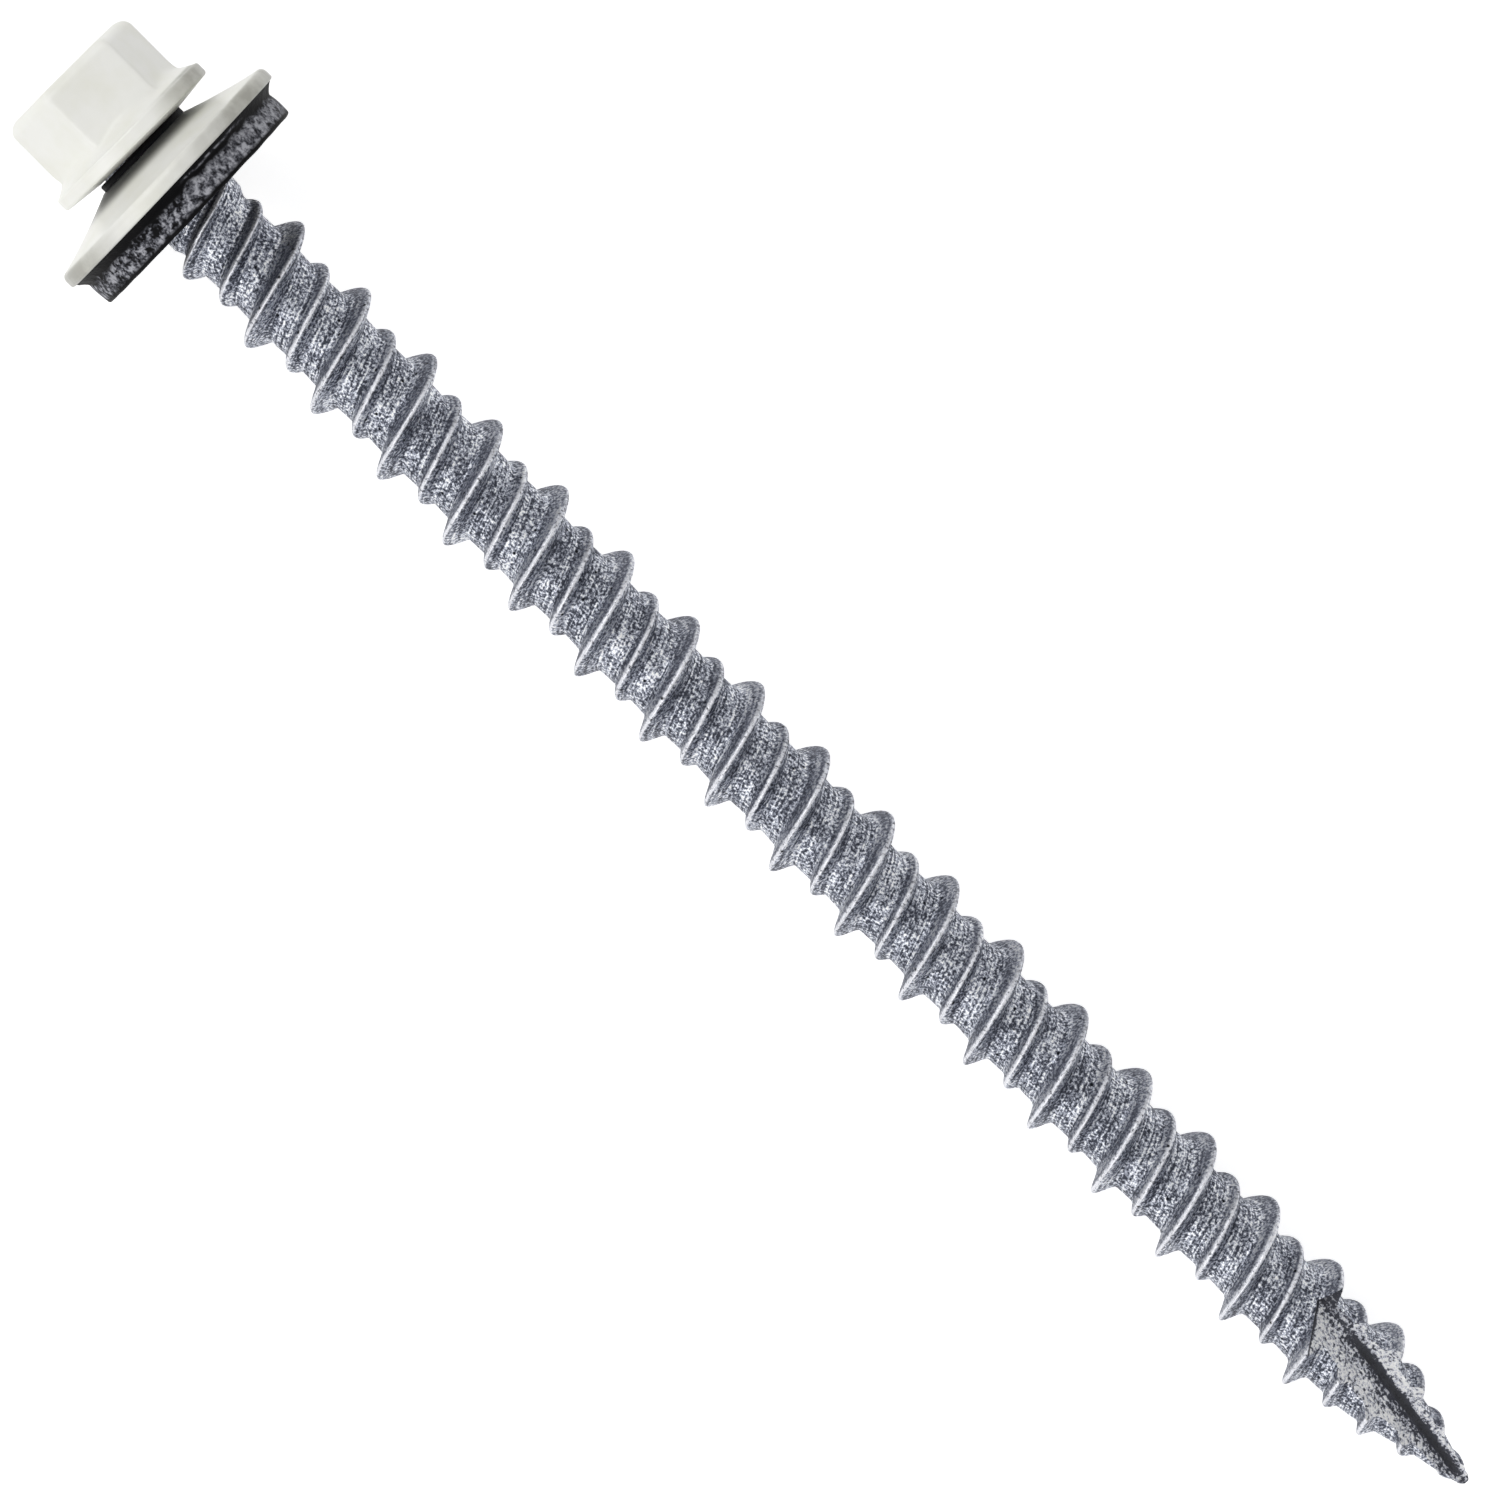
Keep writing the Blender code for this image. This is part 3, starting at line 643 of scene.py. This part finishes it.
def bakedPaint():
    # Polyester paint sprayed and baked on the steel head and cap: an even, softly glossy ivory
    # film with a faint orange peel and a few dust specks, with painted shade in patches on the
    # rims, and a painted shadow of the flange on the cap round the seal's collar.
    look = paintLook
    material, tree = emptyMaterial("bakedPolyesterPaint")
    place = turnBack(tree)
    cloud = addNode(tree, "ShaderNodeTexNoise", {
        "Vector": place, "Scale": 1 / look["cloudSize"], "Detail": 3.0, "Roughness": 0.55})
    tint = paintRamp(addNode(tree, "ShaderNodeValToRGB", {0: cloud}), [
        (0.38, look["body"]), (0.66, look["warm"])])
    # painted shade on the rims, varied in random patches
    rimShadeMark = addNode(tree, "ShaderNodeAttribute", attribute_name="rimPaintedShade")
    blotch = addNode(tree, "ShaderNodeTexNoise", {
        "Vector": place, "Scale": look["blotches"], "Detail": 3.0})
    patches = addNode(tree, "ShaderNodeMapRange", [
        blotch, *look["blotchLevels"], look["blotchLeast"], 1.0])
    greyed = addNode(tree, "ShaderNodeMath", [rimShadeMark.outputs["Fac"], patches], operation="MULTIPLY")
    edged = addNode(tree, "ShaderNodeMix", {
        0: greyed, 6: tint, 7: toLinear(look["edge"])}, data_type="RGBA")
    # painted shadow of the flange on the cap, darkest at the collar
    shadowMark = addNode(tree, "ShaderNodeAttribute", attribute_name="flangePaintedShadow")
    shadowed = addNode(tree, "ShaderNodeMix", {
        0: shadowMark.outputs["Fac"], 6: edged.outputs[2], 7: toLinear(look["flangeShadow"])}, data_type="RGBA")
    speck = addNode(tree, "ShaderNodeTexNoise", {
        "Vector": place, "Scale": 1 / look["speckSize"], "Detail": 2.0})
    specks = addNode(tree, "ShaderNodeMapRange", [speck, *look["speckLevels"]])
    dusted = addNode(tree, "ShaderNodeMix", {
        0: specks, 6: shadowed.outputs[2], 7: toLinear(look["speck"])}, data_type="RGBA")
    peel = addNode(tree, "ShaderNodeTexNoise", {
        "Vector": place, "Scale": 1 / look["peelSize"], "Detail": 1.0})
    bump = addNode(tree, "ShaderNodeBump", {
        "Height": peel, "Strength": 0.3, "Distance": look["peelHeight"] * mm})
    shader = addNode(tree, "ShaderNodeBsdfPrincipled", {
        "Base Color": dusted.outputs[2], "Roughness": look["roughness"], "IOR": 1.5, "Normal": bump})
    addNode(tree, "ShaderNodeOutputMaterial", {"Surface": shader})
    return material


def hexReach(apothem, rounding, angle):
    # Distance from the axis to the side of a hexagon with rounded corners
    sixth = math.radians(60)
    off = abs((angle + sixth / 2) % sixth - sixth / 2)
    flatHalf = (apothem - rounding) * math.tan(sixth / 2)
    if apothem * math.tan(off) <= flatHalf:
        return apothem / math.cos(off)
    centre = (apothem - rounding) / math.cos(sixth / 2)
    delta = sixth / 2 - off
    inArc = max(rounding ** 2 - (centre * math.sin(delta)) ** 2, 0.0)
    return centre * math.cos(delta) + math.sqrt(inArc)


def smoothMax(a, b, blend):
    share = max(blend - abs(a - b), 0.0) / blend
    return max(a, b) + share ** 3 * blend / 6


def paintedHead(paint):
    apothem = head["acrossFlats"] / 2
    rimTop = head["hexHeight"] + head["skirtHeight"]
    rimBottom = rimTop + head["flangeThickness"]
    outer = head["flangeDiameter"] / 2
    angles = [2 * math.pi * i / head["segments"] for i in range(head["segments"])]
    turn = math.radians(head["turn"])
    rings = []

    def addRing(depth, reach, shift=head["hexOffset"]):
        rings.append([(reach(a) * math.cos(a) * mm, (reach(a) * math.sin(a) + shift) * mm, -depth * mm)
                      for a in angles])

    for share in head["topRings"]:
        addRing(0.0, lambda a: hexReach(
            (apothem - head["topRound"]) * share, head["cornerRound"] * share, a - turn))
    for i in range(11):
        bend = math.radians(90 * i / 10)
        inset = head["topRound"] * (1 - math.sin(bend))
        corner = head["cornerRound"] + head["cornerOpening"] * inset
        addRing(head["topRound"] * (1 - math.cos(bend)),
                lambda a: hexReach(apothem - inset, corner, a - turn))
    skirtStart = head["hexHeight"] - head["skirtOverlap"]
    for i in range(1, 12):
        depth = head["topRound"] + (skirtStart - head["topRound"]) * i / 11
        addRing(depth, lambda a: hexReach(apothem, head["cornerRound"], a - turn))
    rounding = head["flangeRound"]
    inset = outer - rounding
    skirtSteps = 26
    for i in range(1, skirtSteps + 1):
        depth = skirtStart + (rimTop - skirtStart) * i / skirtSteps
        share = (depth - skirtStart) / (rimTop - skirtStart)
        cone = apothem - head["skirtInset"]
        cone += (inset - apothem + head["skirtInset"]) * share ** head["skirtBend"]
        shift = head["hexOffset"] + (head["flangeOffset"] - head["hexOffset"]) * easeIn(share)
        addRing(depth, lambda a: smoothMax(
            hexReach(apothem, head["cornerRound"], a - turn), cone, head["skirtBlend"]), shift)
    collar = head["collarDiameter"] / 2
    hollow = head["flangeCone"]
    profile = arcPoints(inset, rimTop + rounding, rounding, -78, 0, 6)
    profile += arcPoints(inset, rimBottom - rounding, rounding, 0, 90, 6)
    profile += [(collar + (inset - collar) * share, rimBottom + hollow * (1 - share))
                for share in head["underRings"]]
    profile += [(collar * head["underMiddle"], rimBottom + hollow)]
    for radius, depth in profile:
        addRing(depth, lambda a: radius, head["flangeOffset"])
    return ringMesh("paintedHead", rings, layDown, paint)


def markPoints(piece, name, place, share):
    # Stores a share for each point, from where it was drawn
    mark = piece.data.attributes.new(name, "FLOAT", "POINT")
    back = place.inverted()
    for vert, item in zip(piece.data.vertices, mark.data):
        item.value = share(back @ vert.co / mm)


def flangeEdge(spot):
    # painted shade on the flange's rim, all to one side
    onRim = easeIn((spot.xy.length - head["flangeDiameter"] / 2 + head["rimReach"]) / head["rimEdge"])
    turned = math.degrees(math.atan2(spot.y, spot.x)) - head["rimTurn"]
    return onRim * easeIn(turned / head["rimFade"])


paint = bakedPaint()
headPiece = paintedHead(paint)
markPoints(headPiece, "rimPaintedShade", layDown, flangeEdge)
print("head:", len(headPiece.data.polygons), "faces")


washer = {
    "lean": 1.65,  # degrees, it sits a little askew
    "capTop": 5.04, "rise": 1.23, "steepening": 0.28, "sheet": 0.67,
    "diameter": 13.14, "rimRound": 0.34, "rimFoot": 0.13,
    "sealDiameter": 11.80, "sealDrop": 1.67, "sealRound": 0.15, "sealBulge": 0.05,
    "flareOut": 0.56, "flareDown": 0.50, "flareBend": 1.5,
    "mouth": 0.5, "collarDiameter": 5.08, "underFlange": 4.72,
    "bore": 2.06, "segments": 200,
    "overlap": 0.02, "collarChamfer": 0.06, "collarStep": 0.2, "underRim": 0.7, "faceRings": (1.0, 2.0),
    "rimPale": -16.0, "rimFade": 74,  # degrees round from the viewer where the rim's painted shade is least, and over how many it grows
    "rimFaster": 1.35,  # on the way to one side
    "rimReach": 0.36, "rimEdge": 0.3, "rimLeast": 0.05,
    "flangeShadow": 1.80, "flangeShadowEdge": 1.35,  # mm out from the collar, of the painted shadow
    "flangeShadowMost": 0.87,
    "collarShift": 0.13,  # mm, the seal's collar was squeezed to one side
    # waves of the seal's side: how close round it and down it, and mm high
    "wavesRound": 6.0, "waves": ((0.8, 0.9, 0.06), (2.6, 1.5, 0.03)), "edgeWave": (0.7, 0.04),
    "waveReach": 0.3, "waveTop": 0.1,  # mm
}

bloomAndGlint = {  # mm, where the grey bloom and a painted glint lie on the rubber's side
    "waves": ((1.1, 0.0, 0.16), (3.5, 7.0, 0.06)),  # how close, at which height, and mm wide
    "topGap": -0.02, "topEdge": 0.16, "bottomGap": 0.03, "bottomEdge": 0.12, "bottomRagged": 0.3,
    "sideReach": 0.15,
    # a thin painted glint along the dark band
    "glintAbove": 0.24, "glintWidth": 0.035, "glintRagged": 0.5, "glintMost": 0.75, "glintEnd": 4.4,
}

rubberLook = {
    "black": "#060608", "dull": "#3B3C42", "grey": "#6C6D74", "bloomAndGlint": "#B4B5BC",
    "mottleSize": 0.34, "grainSize": 0.11,  # mm
    "grainShare": 0.45, "mean": 0.73,
    "sideReach": 1.5,  # mm, over which the blots grow smoother
    "contrast": (2.7, 1.9), "middle": (0.48, 0.61),
}


def mouldedRubber():
    # EPDM rubber, moulded and cut as a ring: matt black, with a grey bloom and scuffs that
    # gather in blots on the outer side, smoother to one side of the ring, and a thin painted glint
    # along the black band under the cap.
    look = rubberLook
    material, tree = emptyMaterial("mouldedEpdmRubber")
    place = turnBack(tree)
    mottle = addNode(tree, "ShaderNodeTexNoise", {
        "Vector": place, "Scale": 1 / look["mottleSize"], "Detail": 2.0, "Distortion": 0.5})
    grain = addNode(tree, "ShaderNodeTexNoise", {
        "Vector": place, "Scale": 1 / look["grainSize"], "Detail": 2.0})
    mixed = addNode(tree, "ShaderNodeMath", [
        grain, look["grainShare"], mottle], operation="MULTIPLY_ADD")
    spot = addNode(tree, "ShaderNodeSeparateXYZ", [place])
    reach = look["sideReach"]
    contrast, middle = (addNode(tree, "ShaderNodeMapRange", [
        spot.outputs["Y"], -reach, reach, *look[name]]) for name in ("contrast", "middle"))
    centred = addNode(tree, "ShaderNodeMath", [mixed, look["mean"]], operation="SUBTRACT")
    level = addNode(tree, "ShaderNodeMath", [centred, contrast, middle], operation="MULTIPLY_ADD")
    ramp = paintRamp(addNode(tree, "ShaderNodeValToRGB", {0: level}), [
        (0.12, look["black"]), (0.34, look["dull"]), (0.55, look["grey"]), (0.90, look["bloomAndGlint"])])
    # grey bloom over the black, with a painted glint along the dark band under the cap
    face = addNode(tree, "ShaderNodeAttribute", attribute_name="bloomAndGlint")
    bloomAndGlintMix = addNode(tree, "ShaderNodeMix", {
        0: face.outputs["Fac"], 6: toLinear(look["black"]), 7: ramp}, data_type="RGBA")
    bump = addNode(tree, "ShaderNodeBump", {
        "Height": mixed, "Strength": 0.8, "Distance": 0.05 * mm})
    shader = addNode(tree, "ShaderNodeBsdfPrincipled", {
        "Base Color": bloomAndGlintMix.outputs[2], "Roughness": 0.6, "Specular IOR Level": 0.12, "Normal": bump})
    addNode(tree, "ShaderNodeOutputMaterial", {"Surface": shader})
    return material


rimTop = washer["capTop"] + washer["rise"]
rimBottom = rimTop + washer["sheet"]
washerPlace = (layDown @ Matrix.Translation((0, 0, -rimBottom * mm))
               @ Matrix.Rotation(math.radians(washer["lean"]), 4, "X")
               @ Matrix.Translation((0, 0, rimBottom * mm)))


def domeDepth(radius):
    bore = washer["collarDiameter"] / 2
    share = (washer["diameter"] / 2 - radius) / (washer["diameter"] / 2 - bore)
    bend = washer["steepening"]
    return rimTop - washer["rise"] * ((1 - bend) * share + bend * share ** 2)


def turnedRings(profile, wobble=None, collarShift=0.0):
    rings = []
    for radius, depth in profile:
        ring = []
        shift = collarShift if radius <= washer["collarDiameter"] / 2 else 0.0
        for i in range(washer["segments"]):
            a = 2 * math.pi * i / washer["segments"]
            r, d = (radius, depth) if wobble is None else wobble(radius, depth, a)
            ring.append((r * math.cos(a) * mm, (r * math.sin(a) + shift) * mm, -d * mm))
        rings.append(ring)
    return rings


def washerCap():
    outer = washer["diameter"] / 2
    bore = washer["collarDiameter"] / 2 - washer["overlap"]
    rounding = washer["rimRound"]
    inner = outer - rounding
    steps = 22
    radii = [bore + (inner - bore) * i / steps for i in range(steps + 1)]
    profile = [(r, domeDepth(r)) for r in radii[:-1]]
    profile += arcPoints(inner, domeDepth(inner) + rounding, rounding, -78, 0, 8)
    foot = washer["rimFoot"]
    profile += arcPoints(outer - foot, rimBottom - foot, foot, 0, 90, 4)
    profile += [(r, domeDepth(r) + washer["sheet"]) for r in reversed(radii)
                if r < outer - washer["underRim"]]
    piece = ringMesh("washerCapDome", turnedRings(profile), washerPlace, paint, closedLoop=True)
    full = math.radians(washer["rimPale"])

    def rimEdge(spot):
        # painted shade on the rim, least near one place and growing away from it
        away = math.atan2(spot.y, spot.x) - full
        away = max(away, -washer["rimFaster"] * away)
        onRim = easeIn((spot.xy.length - outer + washer["rimReach"]) / washer["rimEdge"])
        shadeGrowth = easeIn(away / math.radians(washer["rimFade"]))
        return onRim * (washer["rimLeast"] + (1 - washer["rimLeast"]) * shadeGrowth)

    # a painted shadow of the flange, darkest next to the collar
    def flangeShadow(spot):
        return washer["flangeShadowMost"] * easeIn(
            (washer["flangeShadow"] - spot.xy.length + bore) / washer["flangeShadowEdge"])

    markPoints(piece, "rimPaintedShade", washerPlace, rimEdge)
    markPoints(piece, "flangePaintedShadow", washerPlace, flangeShadow)
    return piece


def rubberSeal():
    outer = washer["sealDiameter"] / 2
    collar = washer["collarDiameter"] / 2
    flare = outer + washer["flareOut"]
    bottom = rimBottom + washer["sealDrop"]
    bore = washer["bore"]
    under = washer["underFlange"]
    chamfer = washer["collarChamfer"]
    profile = [(bore, under), (collar - chamfer, under), (collar, under + chamfer),
               (collar, under + washer["collarStep"])]
    steps = 12
    radii = [collar + (flare - collar) * i / steps for i in range(steps + 1)]
    profile += [(r, domeDepth(r) + washer["sheet"] - washer["overlap"]) for r in radii]
    top = profile[-1][1]
    down = washer["flareDown"]
    for i in range(1, 17):
        share = i / 16
        flared = washer["flareOut"] * (1 - share) ** washer["flareBend"]
        profile.append((outer + flared, top + down * share))
    sideTop = top + down
    sideBottom = bottom - washer["sealRound"]
    for i in range(1, 10):
        share = i / 10
        bulge = washer["sealBulge"] * math.sin(math.pi * share)
        profile.append((outer + bulge, sideTop + (sideBottom - sideTop) * share))
    profile += arcPoints(outer - washer["sealRound"], sideBottom, washer["sealRound"], 0, 90, 5)
    mouth = bore + washer["mouth"]
    profile += [(outer - inset, bottom) for inset in washer["faceRings"]]
    profile += arcPoints(mouth, bottom - washer["mouth"], washer["mouth"], 90, 180, 5)

    def wobble(radius, depth, angle):
        if radius < outer - washer["waveReach"] or depth < top + washer["waveTop"]:
            return radius, depth
        around = Vector((math.cos(angle), math.sin(angle), 0.0)) * washer["wavesRound"]
        push = sum(noise.noise(around * turns + Vector((0, 0, depth * rate))) * size
                   for turns, rate, size in washer["waves"])
        turns, size = washer["edgeWave"]
        return radius + push, depth + noise.noise(around * turns) * size

    def bloomAndGlintShare(spot):
        # bloom stays on the outer side, away from its bottom edge and from the top band, which is left
        # black as a painted shade under the cap
        ragged = sum(noise.noise(Vector((spot.x, spot.y, level)) * rate) * size
                     for rate, level, size in bloomAndGlint["waves"])
        below = -spot.z - sideTop
        fromTop = (below - bloomAndGlint["topGap"] + ragged) / bloomAndGlint["topEdge"]
        fromBottom = sideBottom + spot.z - bloomAndGlint["bottomGap"] + ragged * bloomAndGlint["bottomRagged"]
        fromBottom /= bloomAndGlint["bottomEdge"]
        onSide = 1.0 if spot.xy.length > outer - bloomAndGlint["sideReach"] else 0.0
        # a thin painted glint runs along the dark band on one side
        glintLine = (below + bloomAndGlint["glintAbove"] + ragged * bloomAndGlint["glintRagged"]) / bloomAndGlint["glintWidth"]
        glintShare = bloomAndGlint["glintMost"] * math.exp(-glintLine * glintLine)
        glintShare *= easeIn(spot.y) * easeIn(bloomAndGlint["glintEnd"] - spot.y)
        side = max(0.0, min(1.0, fromTop)) * max(0.0, min(1.0, fromBottom)) * onSide
        return max(side, glintShare)

    rings = turnedRings(profile, wobble, washer["collarShift"])
    piece = ringMesh("rubberSealRing", rings, washerPlace, mouldedRubber(), closedLoop=True)
    markPoints(piece, "bloomAndGlint", washerPlace, bloomAndGlintShare)
    return piece


capPiece = washerCap()
sealPiece = rubberSeal()
print("washer:", len(capPiece.data.polygons), "and", len(sealPiece.data.polygons), "faces")

for piece, slot in ((shankPiece, "zinc_coated_steel"), (headPiece, "painted_steel"),
                    (capPiece, "painted_steel"), (sealPiece, "black_rubber")):
    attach(piece, "root")
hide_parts("screw")
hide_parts("screw")
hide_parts("washer_cap")
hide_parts("rubber_seal")

studio = {
    "floorColour": "#EDEDED", "floorGlow": 0.62, "floorGloss": 0.42,
    "floorHalf": 3.0, "floorDrop": 0.04,  # m, and mm under the lowest point
    "worldLevel": 0.43,
    "lamps": {  # place in m, side in m, watts
        "sideSoftbox": ((0.30, -0.93, 0.74), 1.1, 5.6),
        "headSoftbox": ((-1.0, -0.15, 0.62), 0.9, 4.8),
        "farSoftbox": ((0.25, 0.85, 0.98), 1.0, 2.2),
    },
}


def paleFloor():
    mesh = bpy.data.meshes.new("floorCard")
    half, level = studio["floorHalf"], -studio["floorDrop"] * mm
    corners = [(half * x, half * y, level) for x, y in ((-1, -1), (1, -1), (1, 1), (-1, 1))]
    mesh.from_pydata(corners, [], [(0, 1, 2, 3)])
    material, tree = emptyMaterial("paleCard")
    path = addNode(tree, "ShaderNodeLightPath")
    seen = addNode(tree, "ShaderNodeMath", [
        path.outputs["Is Glossy Ray"], path.outputs["Is Transmission Ray"]], operation="MAXIMUM")
    glow = addNode(tree, "ShaderNodeMath", [seen, studio["floorGloss"]], operation="MULTIPLY")
    glow = addNode(tree, "ShaderNodeMath", [
        path.outputs["Is Camera Ray"], studio["floorGlow"], glow], operation="MULTIPLY_ADD")
    card = addNode(tree, "ShaderNodeBsdfDiffuse", {"Color": toLinear(studio["floorColour"])})
    white = addNode(tree, "ShaderNodeEmission", {"Color": (1, 1, 1, 1), "Strength": glow})
    both = addNode(tree, "ShaderNodeAddShader", [card, white])
    addNode(tree, "ShaderNodeOutputMaterial", {"Surface": both})
    mesh.materials.append(material)
    newObject("floorCard", mesh)


paleFloor()
for name, (place, size, power) in studio["lamps"].items():
    lamp = bpy.data.lights.new(name, "AREA")
    lamp.shape = "SQUARE"
    lamp.size = size
    lamp.energy = power
    holder = newObject(name, lamp)
    holder.location = place
    holder.rotation_euler = (-Vector(place)).to_track_quat("-Z", "Y").to_euler()
world = bpy.data.worlds.new("studioAir")
bpy.context.scene.world = world
world.use_nodes = True
air = world.node_tree.nodes["Background"].inputs
air["Color"].default_value, air["Strength"].default_value = (1, 1, 1, 1), studio["worldLevel"]
bpy.context.scene.view_settings.view_transform = "Standard"

camera = {
    "lens": 184.73, "sensor": 36.0, "distance": 352.1,  # mm
    "aimDepth": 43.753, "aimSide": 0.348,  # mm, on the axis from the head's top, and beside it
    "lean": 3.87, "roll": 45.054,  # degrees
}


def photoCamera():
    lens = bpy.data.cameras.new("photoCamera")
    lens.lens = camera["lens"]
    lens.sensor_width = camera["sensor"]
    lens.clip_start, lens.clip_end = 0.01, 20.0
    lean, roll = math.radians(camera["lean"]), math.radians(camera["roll"])
    aim = layDown @ Vector((0.0, camera["aimSide"] * mm, -camera["aimDepth"] * mm))
    alongScrew = Vector((math.cos(lean), 0.0, math.sin(lean)))
    aside = Vector((0.0, 1.0, 0.0))
    back = alongScrew.cross(aside)
    right = alongScrew * math.cos(roll) + aside * math.sin(roll)
    up = aside * math.cos(roll) - alongScrew * math.sin(roll)
    place = Matrix((right, up, back)).transposed().to_4x4()
    place.translation = aim + back * camera["distance"] * mm
    holder = newObject("photoCamera", lens)
    holder.matrix_world = place
    bpy.context.scene.camera = holder


photoCamera()
print("studio set")
